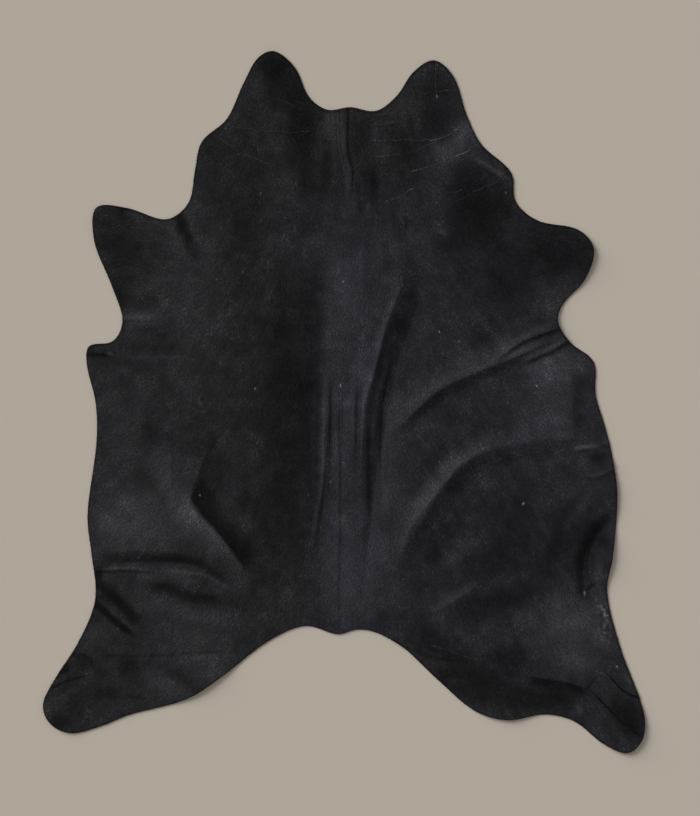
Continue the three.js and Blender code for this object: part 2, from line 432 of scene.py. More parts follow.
fibre = bpy.data.node_groups.new("leather fibre", "ShaderNodeTree")
fibre.interface.new_socket("Grain", in_out="INPUT", socket_type="NodeSocketFloat")
fibre.interface.new_socket("Mottle", in_out="OUTPUT", socket_type="NodeSocketFloat")
fibre.interface.new_socket("Height", in_out="OUTPUT", socket_type="NodeSocketFloat")
fibre_in = fibre.nodes.new("NodeGroupInput")
fibre_out = fibre.nodes.new("NodeGroupOutput")
place = fibre.nodes.new("ShaderNodeTexCoord")
finer = fibre.nodes.new("ShaderNodeMath")
finer.operation = "MULTIPLY"
finer.inputs[1].default_value = FINE_GRAIN
clouds = fibre.nodes.new("ShaderNodeTexNoise")
clouds.inputs["Detail"].default_value = CLOUD_DETAIL
threads = fibre.nodes.new("ShaderNodeTexNoise")
threads.inputs["Distortion"].default_value = THREAD_TWIST
link(
    fibre,
    (fibre_in, "Grain", clouds, "Scale"),
    (fibre_in, "Grain", finer, 0),
    (finer, 0, threads, "Scale"),
    (place, "Object", clouds, "Vector"),
    (place, "Object", threads, "Vector"),
    (clouds, "Fac", fibre_out, "Mottle"),
    (threads, "Fac", fibre_out, "Height"),
)
print("leather pattern of", len(fibre.nodes), "nodes")

# %% Leather finishes
# finish, grain, dark colour, pale colour, relief
LEATHERS = [
    ("dyed skin", 60, (0.004, 0.004, 0.005), (0.012, 0.011, 0.012), 0.3 * MM),
    ("cut edge", 240, (0.012, 0.011, 0.011), (0.050, 0.045, 0.040), 0.2 * MM),
    ("suede", 25, (0.100, 0.091, 0.080), (0.210, 0.195, 0.175), 0.6 * MM),
]
MOTTLE_RANGE = (0.3, 0.7)
LEATHER_ROUGHNESS = (0.7, 0.95)
LEATHER_GLOSS = 0.25


def leather(name, grain, dark, pale, relief):
    """Leather mottled between two colours, rougher where it is pale, with raised fibres."""
    material = bpy.data.materials.new(name)
    material.use_nodes = True
    tree = material.node_tree
    shader = tree.nodes["Principled BSDF"]
    shader.inputs["Specular IOR Level"].default_value = LEATHER_GLOSS
    pattern = tree.nodes.new("ShaderNodeGroup")
    pattern.node_tree = fibre
    pattern.inputs["Grain"].default_value = grain
    colours = tree.nodes.new("ShaderNodeValToRGB")
    for stop, position, colour in zip(colours.color_ramp.elements, MOTTLE_RANGE, (dark, pale)):
        stop.position = position
        stop.color = (*colour, 1)
    roughness = tree.nodes.new("ShaderNodeMapRange")
    roughness.inputs["To Min"].default_value, roughness.inputs["To Max"].default_value = LEATHER_ROUGHNESS
    fibres = tree.nodes.new("ShaderNodeBump")
    fibres.inputs["Distance"].default_value = relief
    link(
        tree,
        (pattern, "Mottle", colours, "Fac"),
        (pattern, "Mottle", roughness, "Value"),
        (pattern, "Height", fibres, "Height"),
        (colours, "Color", shader, "Base Color"),
        (roughness, "Result", shader, "Roughness"),
        (fibres, "Normal", shader, "Normal"),
    )
    return material


for row in LEATHERS:
    skin_mesh.materials.append(leather(*row))
print("leathers:", [material.name for material in skin_mesh.materials])

# %% Leather of each face
SHARP_ANGLE = np.radians(60)

upward = np.zeros(3 * len(skin_mesh.polygons))
skin_mesh.polygons.foreach_get("normal", upward)
upward = upward.reshape(-1, 3)[:, 2]
finishes = np.select([upward > LEVEL, upward > -LEVEL], [0, 1], 2)
skin_mesh.polygons.foreach_set("material_index", finishes)
skin_mesh.shade_smooth()
skin_mesh.set_sharp_from_angle(angle=SHARP_ANGLE)
print("faces of each leather:", dict(zip([row[0] for row in LEATHERS], np.bincount(finishes).tolist())))

# %% [markdown]
# Scratches and flecks
#
# Where the skin was once scratched or cut, the hair grew back pale. A painted line would lie flat on the
# coat, so each scratch is a row of separate pale hairs along a smooth line. Soft noise makes the row come
# and go and swing a little. A fleck is a few such hairs around one spot. The same noise later mottles the
# whole coat, so it is made first: random values on a square grid, blended smoothly between its corners.

# %% Soft noise
NOISE_CELLS = 512
NOISE_MIDDLE = 0.5


def soft_noise(places, cell, seed):
    """Smooth random values from 0 to 1, one cell apart."""
    grid = np.random.default_rng(seed).random((NOISE_CELLS, NOISE_CELLS))
    spot = places / cell
    low = np.floor(spot).astype(int)
    share = smooth(spot - low)
    west, south = (low % NOISE_CELLS).T
    east, north = ((low + 1) % NOISE_CELLS).T
    lower = grid[west, south] * (1 - share[:, 0]) + grid[east, south] * share[:, 0]
    upper = grid[west, north] * (1 - share[:, 0]) + grid[east, north] * share[:, 0]
    return lower * (1 - share[:, 1]) + upper * share[:, 1]


def noise_around_zero(places, cell, seed):
    """Soft noise from half below to half above 0."""
    return soft_noise(places, cell, seed) - NOISE_MIDDLE


print("noise repeats after", NOISE_CELLS, "cells")

# %% Table of scratches and flecks
# scratch, tone, points
SCRATCHES = [
    ("long neck scratch", 0.78, (79, 796), (171, 799), (262, 799), (299, 805)),
    ("end of the neck scratch", 0.95, (262, 797), (299, 806), (329, 823), (372, 852)),
    ("branch of the neck scratch", 0.82, (95, 747), (207, 762), (268, 790), (299, 802)),
    ("second neck scratch", 0.91, (204, 702), (278, 723), (308, 741), (369, 762), (390, 775)),
    ("third neck scratch", 0.82, (329, 723), (375, 747), (400, 756)),
    ("short neck scratch", 0.96, (146, 616), (171, 631), (207, 650)),
    ("second short scratch", 0.84, (129, 610), (150, 616), (180, 628)),
    ("lower short scratch", 0.82, (189, 570), (223, 586), (247, 598)),
    ("upper neck scratch", 0.80, (85, 875), (131, 877), (204, 881)),
    ("second upper scratch", 0.78, (79, 842), (156, 854), (217, 869)),
    ("low neck scratch", 0.78, (293, 634), (340, 641), (360, 647)),
    ("dark side scratch", 0.78, (390, 640), (440, 660), (476, 677)),
    ("edge of the dark side", 0.78, (400, 671), (420, 682), (436, 692)),
    ("faint neck scratch", 0.74, (212, 540), (262, 556), (300, 572)),
    ("low right scratch", 0.74, (340, 612), (400, 640), (450, 665)),
    ("shoulder scratch", 0.76, (160, 470), (250, 500), (340, 530)),
    ("point scratch", 0.84, (281, 1028), (279, 982), (282, 933)),
    ("scratch across the point", 0.74, (229, 942), (280, 946), (345, 952)),
    ("left neck scratch", 0.82, (-365, 848), (-290, 832), (-190, 824), (-98, 826)),
    ("long left scratch", 0.84, (-387, 811), (-317, 763), (-226, 723)),
    ("short left scratch", 0.82, (-296, 824), (-262, 808), (-235, 793)),
    ("left point scratch", 0.74, (-317, 955), (-230, 930), (-150, 903)),
    ("arc beside the neck line", 0.74, (55, 769), (56, 745), (46, 722), (24, 708)),
    ("armpit scratch", 0.82, (515, 130), (552, 124), (590, 117)),
    ("lower armpit scratch", 0.86, (595, 115), (659, 104), (715, 104)),
    ("rump scratch", 0.80, (262, -741), (320, -758), (384, -781)),
]
# fleck, tone, half length, half width, middle
FLECKS = [
    ("back", 0.95, 6, 2, (-11, 54)),
    ("withers", 0.95, 2, 2, (-3, 369)),
    ("right shoulder", 0.95, 2, 2, (290, 217)),
    ("second right shoulder", 0.85, 2, 2, (351, 186)),
    ("right flank", 0.95, 3, 2, (546, -308)),
    ("right belly", 0.9, 3, 2, (588, 50)),
    ("left flank", 0.95, 2, 2, (-439, -281)),
    ("left back", 0.9, 3, 2, (-271, 43)),
    ("right point", 0.95, 3, 2, (284, 933)),
    ("right thigh", 0.92, 5, 3, (733, -578)),
    ("right shank", 0.9, 3, 2, (833, -805)),
    ("loin", 0.85, 2, 2, (-41, -241)),
    ("right neck", 0.85, 2, 2, (492, 641)),
    ("left neck", 0.85, 2, 2, (-253, 637)),
]
print(len(SCRATCHES), "scratches and", len(FLECKS), "flecks")

# %% Pale hairs
SEED = 6
(BREAK_SEED, LOCK_SEED, BAND_SEED, BLOTCH_SEED,
 SMUDGE_SEED, RUFFLE_SEED, SWING_SEED, FADE_SEED) = range(SEED, SEED + 8)
PALE_STEP = 1.2 * MM  # between hairs along a scratch
PALE_SPREAD = 0.7 * MM  # scatter around the line
PALE_SHARE = 0.9  # of the hairs, what is kept in the densest stretch
PALE_BREAK = 18 * MM  # between denser and thinner stretches
PALE_FADE = 45 * MM  # between paler and darker stretches
PALE_DROP = 0.22  # tone lost in the darkest stretch
PALE_SWING = 5 * MM  # how far a scratch wanders
PALE_WAVE = PALE_FADE / 2  # between its turns
FLECK_DENSITY = 0.6  # hairs on a square millimetre
FLECK_TURN = 0.25  # scatter of their direction

chance = np.random.default_rng(SEED)
pale_places = []
pale_ways = []
pale_tones = []
for name, tone, *points in SCRATCHES:
    line = smooth_line(points)
    passed = distances_along(line)
    stops = np.arange(0, passed[-1], PALE_STEP)
    way = at_distances(stops, passed, np.gradient(line, passed, axis=0))
    on_line = at_distances(stops, passed, line)
    kept = chance.random(len(stops)) < PALE_SHARE * soft_noise(on_line, PALE_BREAK, BREAK_SEED)
    aside = PALE_SWING * noise_around_zero(on_line, PALE_WAVE, SWING_SEED)
    on_line += aside[:, None] * way[:, ::-1] * (-1, 1) + PALE_SPREAD * chance.standard_normal(on_line.shape)
    pale_places.append(on_line[kept])
    pale_ways.append(way[kept])
    pale_tones.append((tone - PALE_DROP * soft_noise(on_line, PALE_FADE, FADE_SEED))[kept])
for name, tone, half_length, half_width, middle in FLECKS:
    count = round(np.pi * half_length * half_width * FLECK_DENSITY)
    spread = chance.standard_normal((count, 2)) * (half_width * MM / 2, half_length * MM / 2)
    pale_places.append(np.array(middle) * MM + spread)
    pale_ways.append(FLECK_TURN * chance.standard_normal((count, 2)) - (0, 1))
    pale_tones.append(np.full(count, tone))
pale_places = np.vstack(pale_places)
pale_ways = np.vstack(pale_ways)
pale_tones = np.concatenate(pale_tones)
print(len(pale_tones), "pale hairs")

# %% [markdown]
# Where the hair grows
#
# The coat of a cow is short and lies flat. It runs from the neck to the tail, outwards over the belly
# and down the legs. Blender's own hair system could grow it, but the finished part has to be plain
# meshes. So each lock is one slim triangle with its root on the skin. This step places the roots evenly
# over the skin and gives each the direction of the coat there, mixed from a short table of places.

# %% Roots of the hair
EVEN_HAIRS = 776_000
PALE_LIFT = 1.2 * MM

corners = top_points[top_triangles]
areas = np.linalg.norm(np.cross(corners[:, 1] - corners[:, 0], corners[:, 2] - corners[:, 0]), axis=1) / 2
evenly = (np.arange(EVEN_HAIRS) + chance.random(EVEN_HAIRS)) / EVEN_HAIRS
picked = np.minimum(np.searchsorted(np.cumsum(areas) / areas.sum(), evenly), len(areas) - 1)
weights = np.sort(chance.random((EVEN_HAIRS, 2)), axis=1)
weights = np.stack([weights[:, 0], weights[:, 1] - weights[:, 0], 1 - weights[:, 1]], axis=1)
even_places = np.einsum("hc,hcv->hv", weights, corners[picked][:, :, :2])
places = np.vstack([even_places, pale_places])
HAIRS = len(places)
is_pale = np.arange(HAIRS) >= EVEN_HAIRS
roots = np.column_stack([places, lift(places) + SKIN + PALE_LIFT * is_pale])
print(HAIRS, "roots,", round(EVEN_HAIRS / areas.sum() * MM**2, 3), "on each square millimetre")

# %% Slope under each root
SLOPE_STEP = 1.5 * MM


def unit(vectors):
    return vectors / np.linalg.norm(vectors, axis=1)[:, None]


def slope_across(axis):
    """How steeply the hide rises along one axis, at each root."""
    step = np.eye(2)[axis] * SLOPE_STEP
    return (lift(places + step) - lift(places - step)) / (2 * SLOPE_STEP)


normals = unit(np.stack([-slope_across(0), -slope_across(1), np.ones(HAIRS)], axis=1))
print("steepest slope:", round(float(np.degrees(np.arccos(normals[:, 2].min()))), 1), "degrees")

# %% Way to the knife line
rim_tree = KDTree(len(rim))
for number, (x, y) in enumerate(rim):
    rim_tree.insert((x, y, 0), number)
rim_tree.balance()
nearest = [rim_tree.find((x, y, 0))[1:] for x, y in places]
rim_next = np.roll(rim, -1, axis=0)
rim_turn = np.sign(np.sum(rim[:, 0] * rim_next[:, 1] - rim[:, 1] * rim_next[:, 0]))
rim_run = rim_turn * (rim_next - np.roll(rim, 1, axis=0))
rim_out = unit(np.stack([rim_run[:, 1], -rim_run[:, 0]], axis=1))
gap = np.array([distance for number, distance in nearest])
outward = rim_out[[number for number, distance in nearest]]
print("longest way to the knife line:", round(float(gap.max()), 3), "m")

# %% Direction of the coat
# place, degrees from the tail towards the hide's right, x and y in millimetres
HAIR_FLOW = [
    ("neck", 0, (20, 850)),
    ("left point", -20, (-210, 960)),
    ("right point", 20, (275, 940)),
    ("withers", 0, (0, 420)),
    ("back", 0, (0, 0)),
    ("loin", 0, (0, -420)),
    ("rump", 0, (0, -680)),
    ("left neck", -25, (-330, 700)),
    ("right neck", 25, (370, 690)),
    ("left shoulder", -35, (-380, 350)),
    ("right shoulder", 35, (380, 350)),
    ("left fore shank", -80, (-680, 500)),
    ("right fore shank", 80, (680, 450)),
    ("left side", -28, (-380, -80)),
    ("right side", 28, (380, -80)),
    ("left belly", -48, (-700, -80)),
    ("right belly", 48, (740, -120)),
    ("left flank", -30, (-650, -480)),
    ("right flank", 30, (700, -500)),
    ("left thigh", -25, (-450, -680)),
    ("right thigh", 25, (500, -700)),
    ("left hind shank", -52, (-830, -920)),
    ("right hind shank", 40, (850, -960)),
]
FLOW_BLEND = 120 * MM


def heading_way(heading):
    """The level direction that lies some degrees from the tail towards the hide's right."""
    return np.array((np.sin(np.radians(heading)), -np.cos(np.radians(heading))))


def coat_way(places):
    """The direction in which the coat lies, level, at each place."""
    way = np.zeros_like(places)
    for name, heading, middle in HAIR_FLOW:
        away = np.sum((places - np.array(middle) * MM) ** 2, axis=1)
        weight = 1 / (away + FLOW_BLEND**2) ** 2
        way += weight[:, None] * heading_way(heading)
    return unit(way)


ways = coat_way(places)
ways[is_pale] = unit(pale_ways)
print("mean direction of the coat:", ways.mean(0).round(2))

# %% [markdown]
# Shade of each hair
#
# A black hide isn't one black. Its hair differs in tone, and on top of that the coat carries painted
# sheen and painted shade: the lit sides of folds and ridges are made paler, and their far sides, creases,
# cracks and hollows darker. A picture could colour the coat, but here each hair gets a tone of 0 to 1 of
# its own, where every 0.2 doubles the brightness up to 0.8, and 1 is pale grey. Large patches and lines
# come from tables, and small locks from soft noise that is drawn out along the coat. A second number says
# how likely a hair is to have the cool tint of painted blue sheen.

# %% Soft noise along the coat
LOCK_WIDTH = 5 * MM
LOCK_LENGTH = 40 * MM
LOCK_STEPS = 7
BAND_WIDTH = 16 * MM
BAND_LENGTH = 120 * MM
SMUDGE_SIZE = 25 * MM
BLOTCH_SIZE = 60 * MM


def lock_noise(places, ways, width, length, seed):
    """Soft noise drawn out along the coat, around 0."""
    steps = np.linspace(-length / 2, length / 2, LOCK_STEPS)
    return sum(soft_noise(places + ways * step, width, seed) for step in steps) / LOCK_STEPS - NOISE_MIDDLE


locks = lock_noise(places, ways, LOCK_WIDTH, LOCK_LENGTH, LOCK_SEED)
bands = lock_noise(places, ways, BAND_WIDTH, BAND_LENGTH, BAND_SEED)
smudges = noise_around_zero(places, SMUDGE_SIZE, SMUDGE_SEED)
blotches = noise_around_zero(places, BLOTCH_SIZE, BLOTCH_SEED)
print("spread of the locks:", round(float(locks.std()), 3), "of the bands:", round(float(bands.std()), 3))

# %% Patches of another tone
# patch, tone steps, half length, half width, degrees from the tail towards the right, middle
# many patches are painted sheen and painted shade: paler where folds and swells catch the light, darker in
# hollows, tucks and under folds; the rest are the hair's own tone
TONES = [
    ("withers", 1, 275, 185, 0, (20, 400)),
    ("loin", 1.7, 260, 130, 0, (15, -520)),
    ("left back", -2, 395, 120, 0, (-190, 20)),
    ("left of the withers", -1, 395, 135, 0, (-285, 310)),
    ("left loin", -1.4, 335, 135, 0, (-215, -370)),
    ("neck hollow", -4.6, 185, 72, 0, (-130, 845)),
    ("foot of the neck hollow", -2.2, 105, 62, 0, (-92, 690)),
    ("below the neck hollow", -1, 120, 80, 0, (-135, 590)),
    ("right of the neck", -2, 150, 100, 0, (185, 755)),
    ("left point", -4, 105, 80, 0, (-190, 975)),
    ("left neck", -1.5, 245, 150, 15, (-330, 700)),
    ("right neck", 2.2, 115, 90, -60, (335, 790)),
    ("pale spot of the shoulder", 3, 32, 14, 70, (296, 522)),
    ("right neck foot", -6, 170, 125, 15, (400, 595)),
    ("right shoulder", -3, 215, 140, 30, (490, 380)),
    ("right fore shank", -3, 190, 130, 80, (640, 465)),
    ("right point", -3, 155, 75, 10, (280, 890)),
    ("dark spot of the neck", -4, 90, 36, 0, (82, 672)),
    ("right armpit", 2.1, 180, 100, 80, (620, 120)),
    ("right belly", 1.6, 215, 155, 0, (635, -15)),
    ("middle of the belly", -1, 185, 60, 60, (340, -40)),
    ("between the belly folds", -1, 130, 45, -40, (265, -175)),
    ("right flank", -1.5, 275, 185, 40, (555, -410)),
    ("right belly edge", -3, 105, 75, -20, (750, -395)),
    ("under the lower fold", -2.5, 120, 65, -35, (305, -410)),
    ("loin streak", 1.8, 105, 40, -55, (335, -465)),
    ("right of the loin streak", -1.7, 160, 95, -80, (440, -495)),
    ("right flank hollow", -1, 110, 65, 0, (690, -467)),
    ("rump streak", 1, 110, 38, -70, (300, -595)),
    ("right flank foot", -3, 185, 65, -70, (470, -605)),
    ("right thigh", 2.2, 200, 190, 20, (680, -665)),
    ("right inner thigh", -2.5, 120, 65, 80, (510, -785)),
    ("right hock", 1.4, 110, 55, 80, (710, -795)),
    ("right heel", -3, 230, 85, 70, (400, -855)),
    ("right heel edge", -3, 155, 48, 90, (620, -905)),
    ("right hock edge", 2, 34, 20, 30, (714, -933)),
    ("right shank", -1, 150, 90, 35, (827, -955)),
    ("hollow of the right flank", -4, 24, 10, -55, (750, -560)),
    ("right shank tip", -3, 105, 65, 30, (870, -970)),
    ("right shank edge", 0.5, 60, 45, 25, (868, -870)),
    ("left side", 1, 275, 135, 0, (-670, -85)),
    ("swell", 2, 260, 160, 90, (-665, -360)),
    ("top of the swell", 1, 150, 80, 40, (-515, -270)),
    ("left thigh", 1.5, 245, 105, 60, (-440, -740)),
    ("root of the left thigh", 1, 80, 60, 90, (-592, -620)),
    ("left thigh edge", 2, 120, 55, 60, (-545, -865)),
    ("left hind shank", -1, 150, 110, -50, (-790, -880)),
    ("left hock", -3, 55, 45, 0, (-655, -800)),
    ("left shoulder", 1, 275, 135, 20, (-470, 310)),
    ("left armpit", 2.4, 105, 38, 90, (-612, 258)),
    ("left fore shank", -2, 185, 130, 70, (-660, 480)),
    ("edge of the left fore shank", -1, 150, 55, 20, (-690, 400)),
    ("root of the left fore shank", -3, 80, 30, 25, (-490, 535)),
    ("left belly shade", -2, 90, 45, 50, (-575, -90)),
    ("left belly corner", -1, 60, 45, 0, (-755, 160)),
    ("edge tuck", -5, 27, 21, 0, (-747, -520)),
    ("pale tuft", 1.6, 100, 34, 15, (785, -630)),
    ("head of the withers fold", -1.2, 125, 38, -13, (206, 305)),
    ("right panel of the neck", -1.6, 110, 55, 0, (42, 835)),
    ("top of the right shoulder", 1, 90, 70, 0, (235, 500)),
    ("beside the withers fold", 0.8, 150, 55, -10, (238, 205)),
    ("below the withers fold", 1, 100, 50, 0, (140, -300)),
    ("between the edge wrinkles", -2, 45, 22, 90, (775, -165)),
    ("left shank shade", -2, 40, 28, 60, (-780, -790)),
    ("lower shank shade", -1.5, 50, 30, 90, (-715, -885)),
    ("upper corner of the right neck", 1, 60, 40, -30, (372, 838)),
    ("lower corner of the right neck", 0.7, 60, 50, 60, (300, 750)),
    ("left of the neck line", -2.6, 110, 30, 0, (-54, 745)),
    ("edge of the right point", -1, 80, 45, 10, (325, 955)),
    ("top of the left fore shank", -1.5, 70, 45, 80, (-690, 590)),
    ("edge above the left armpit", -3.6, 70, 40, 20, (-690, 315)),
    ("below the left neck", -1, 100, 80, 0, (-315, 495)),
    ("left of the withers line", -1.4, 150, 65, 0, (-95, 325)),
    ("behind the right neck", -1.7, 150, 70, 0, (325, 500)),
    ("edge of the right neck foot", -1.6, 80, 60, 30, (510, 590)),
    ("right of the loin", 0.8, 120, 50, 0, (146, -520)),
    ("top of the lower fold", 1, 110, 35, -80, (510, -140)),
    ("hollow of the belly folds", -1.3, 90, 42, -60, (335, -140)),
    ("edge of the right thigh", 1, 70, 40, 15, (785, -710)),
    ("edge of the left thigh root", 1.2, 100, 55, -40, (-750, -705)),
    ("second left belly shade", -1, 60, 40, 60, (-600, -235)),
    ("left hind tip", -2, 90, 55, -60, (-880, -982)),
    ("tip of the left point", -2.5, 80, 70, 0, (-222, 1040)),
    ("behind the left belly shade", 1.5, 110, 65, 0, (-540, -185)),
    ("below the rump streak", -1.7, 150, 64, 60, (288, -735)),
    ("beside the right thigh", -0.7, 90, 60, 0, (600, -610)),
    ("left of the shoulder fold", -0.6, 90, 60, 0, (-410, 220)),
    ("above the left side", 0.7, 60, 50, 0, (-500, 125)),
    ("left ribs", -0.6, 230, 60, 0, (-315, -10)),
    ("left flank", 0.7, 240, 120, 70, (-560, -550)),
    ("edge of the right flank flap", -1.5, 60, 36, 0, (790, -425)),
    ("above the upper fold", -1, 120, 60, -65, (415, 205)),
    ("above the left armpit", -0.8, 90, 36, 90, (-630, 318)),
    ("edge of the left neck", 0.8, 70, 40, 0, (-415, 675)),
    ("root of the right fore shank", 1, 90, 50, 20, (605, 315)),
    ("foot of the left point", -0.6, 120, 90, 0, (-255, 880)),
    ("right of the rump", -0.8, 220, 60, 0, (240, -620)),
    ("inner edge of the left thigh", -0.7, 120, 50, 60, (-330, -780)),
    ("end of the thigh fold", 0.5, 80, 50, 90, (-400, -590)),
    ("edge of the right shank", 1.5, 30, 18, 30, (866, -842)),
    ("left shoulder fold", 0.6, 110, 50, 0, (-228, 310)),
    ("behind the withers", 0.5, 90, 50, 0, (50, 128)),
    ("tuck of the left shank", -4, 32, 15, -60, (-853, -817)),
    ("top of the neck panel", 1.7, 75, 27, 0, (-46, 855)),
    ("corner fold of the left belly", 3, 16, 10, 60, (-712, 150)),
]


def patch(places, half_length, half_width, heading, middle):
    """A soft long patch: 1 in its middle and 0 at its border."""
    away = places - np.array(middle) * MM
    way = heading_way(heading)
    along = away @ way / (half_length * MM)
    beside = (away[:, 1] * way[0] - away[:, 0] * way[1]) / (half_width * MM)
    return bump(np.hypot(along, beside), 1)


print(len(TONES), "patches")

# %% Lines of another tone
# line, tone steps, left half width, right half width, points
# most lines are painted light: painted sheen on the lit sides and edges of folds and wrinkles, painted shade
# on their dark sides and along creases, cracks and tucks; the strips along the spine and the pale streaks are
# partly painted sheen and partly the hair's own tone
LINES = [
    ("spine", 0.9, 18, 190, (-61, -400), (-58, -200), (-52, 5), (-55, 160)),
    ("lower spine", 0.6, 55, 150, (-48, -740), (-42, -560), (-34, -400), (-30, -232)),
    ("upper spine", 0.9, 60, 165, (-26, -115), (-24, 5), (-32, 370), (-25, 530)),
    ("left of the spine", -1.3, 215, 18, (-85, -400), (-85, -240), (-82, 160)),
    ("left of the lower spine", -1.1, 185, 55, (-125, -590), (-118, -450), (-112, -232)),
    ("left of the upper spine", -1.3, 185, 60, (-112, -74), (-110, 220), (-105, 450)),
    ("right of the withers fold", 1.8, 18, 80, (65, -640), (95, -300), (122, -120), (165, 110)),
    ("lit side of the upper fold", 1.4, 80, 9, (135, -90), (245, 5), (350, 75), (475, 125), (665, 205)),
    ("lit side of the lower fold", 1.8, 78, 8,
     (160, -520), (195, -390), (247, -314), (308, -238), (354, -183), (440, -135)),
    ("lit side of the swell", 2.5, 90, 12, (-280, -560), (-370, -420), (-465, -315), (-450, -225)),
    ("dark side of the swell", -3.3, 10, 80,
     (-265, -545), (-360, -415), (-450, -305), (-455, -265), (-445, -215)),
    ("top of the dark side", -1.6, 8, 32, (-455, -285), (-438, -210), (-412, -140), (-395, -80)),
    ("thigh fold", -3.5, 24, 28, (-630, -545), (-520, -573), (-440, -595), (-330, -607)),
    ("below the thigh fold", 1, 40, 40, (-545, -615), (-455, -645), (-330, -660)),
    ("flank streak", -3.4, 29, 29, (-810, -515), (-750, -553), (-689, -599), (-643, -653), (-625, -700)),
    ("lower flank streak", -6, 16, 16, (-810, -575), (-754, -615), (-697, -664), (-647, -702), (-615, -725)),
    ("tail of the swell", 1.5, 10, 12, (-592, -509), (-485, -515), (-424, -525), (-363, -558), (-300, -595)),
    ("foot of the swell", -2.4, 19, 17,
     (-760, -480), (-592, -479), (-470, -482), (-424, -497), (-393, -519), (-340, -560)),
    ("lit foot of the swell", 1, 6, 6, (-735, -507), (-650, -504), (-565, -513)),
    ("crease across the thigh", -1.5, 8, 8, (-800, -772), (-592, -772), (-440, -762), (-285, -755)),
    ("edge of the right neck", 2.5, 15, 15, (380, 755), (445, 717), (505, 675)),
    ("right flank flap", 0.8, 20, 20, (765, -560), (775, -500), (775, -430)),
    ("belly edge wrinkle", 2.4, 12, 14, (685, -140), (735, -135), (795, -137)),
    ("lower edge wrinkle", 2, 8, 10, (710, -222), (775, -220), (845, -180)),
    ("right hock crease", -4, 4, 38, (540, -832), (600, -842), (644, -847), (705, -862), (765, -887)),
    ("hock crack", -6, 4, 4, (730, -882), (740, -870), (752, -855), (778, -828)),
    ("edge of the rump streak", 1.6, 34, 5, (215, -668), (247, -649), (308, -618), (369, -579), (440, -530)),
    ("shank crack", -6, 4, 4, (735, -862), (781, -909), (804, -932), (842, -970), (920, -1030)),
    ("upper shank crack", -6, 4, 4, (785, -812), (811, -838), (849, -877), (891, -897), (935, -905)),
    ("lit side of the neck line", 2, 28, 5,
     (-20, 1000), (-18, 830), (-12, 769), (0, 708), (8, 640), (8, 560)),
    ("neck line", -4, 4, 9, (14, 1000), (14, 887), (12, 799), (18, 746), (29, 708), (24, 650), (15, 600)),
    ("dark side of the right flank ridge", -2.5, 28, 8,
     (722, -640), (722, -573), (725, -476), (750, -421), (785, -370), (835, -320)),
    ("upper armpit crease", -2, 3, 18, (440, 115), (512, 165), (552, 189), (598, 207), (690, 238)),
    ("lower armpit crease", -1.6, 3, 14, (510, 100), (598, 143), (637, 159), (725, 215)),
    ("dark side of the withers fold", -1.4, 4, 76,
     (62, -60), (70, 6), (92, 85), (110, 159), (134, 250), (171, 342), (210, 440)),
    ("lit edge of the withers fold", 1.8, 30, 3,
     (58, -116), (68, 6), (90, 85), (108, 159), (132, 250), (168, 342), (190, 420)),
    ("dark strip of the loin fold", -2.2, 10, 12, (80, -400), (74, -240), (73, -120), (80, 20)),
    ("second dark strip of the loin fold", -2.2, 6, 8, (106, -220), (111, -80), (120, 20), (142, 120)),
    ("lit side of the spine ridge", 1.35, 13, 4,
     (-118, -540), (-100, -450), (-84, -345), (-66, -245), (-62, -120), (-60, 0), (-58, 120)),
    ("dark side of the spine ridge", -2, 4, 12, (-56, -340), (-46, -200), (-44, -60), (-42, 110)),
    ("middle spine crease", -1.2, 8, 6, (-16, -780), (-15, -400), (-12, -200), (-5, -60), (0, 110)),
    ("right spine crease", -2, 12, 5, (38, -210), (38, -60), (42, 90)),
    ("lit side of the loin fold", 1.2, 8, 5, (50, -280), (54, -120), (60, 0), (70, 90)),
    ("dark strip of the right belly edge", -1.4, 16, 50, (704, -130), (704, 0), (704, 125)),
    ("pale streak under the neck", 1.5, 10, 10, (75, 735), (76, 650), (72, 560)),
    ("dark streak under the neck", -1.5, 12, 12, (40, 700), (46, 630), (48, 550)),
    ("foot of the right flank ridge", -1.6, 30, 30,
     (640, -560), (634, -476), (650, -400), (690, -320), (740, -270)),
    ("crease of the left shank", -4.5, 7, 6,
     (-915, -880), (-880, -866), (-840, -848), (-796, -836), (-765, -832)),
    ("bent crease of the left shank", -2.5, 6, 6,
     (-855, -782), (-823, -769), (-790, -770), (-769, -790), (-762, -820)),
    ("tuck of the left belly", -3, 8, 8, (-810, 150), (-765, 150), (-725, 142), (-695, 140)),
    ("upper fold line of the left side", -1.2, 14, 22, (-700, 172), (-590, 170), (-470, 175)),
    ("lower fold line of the left side", 1, 10, 10, (-700, 138), (-590, 138), (-450, 142)),
    ("upright fold line of the left side", -0.8, 5, 12, (-523, -290), (-523, -170), (-523, -50)),
]
print(len(LINES), "lines")

# %% Tone of each hair
BASE_TONE = 0.52
TONE_STEP = 0.105
RIM_DARK = 2.5  # tone steps of painted shade along the knife line
RIM_REACH = 9 * MM
LINE_ROUNDNESS = 1
LINE_FOOT = 2
# how far each noise, and chance from hair to hair, changes the tone
LOCK_SHARE = 0.12
BAND_SHARE = 0.185
SMUDGE_SHARE = 0.145
BLOTCH_SHARE = 0.135
HAIR_SHARE = 0.105
PALE_HAIR_SHARE = HAIR_SHARE / 2
CALM = 2.6  # how much less a pale hair is mottled than a dark one
CALM_RANGE = (0.45, 1.2)

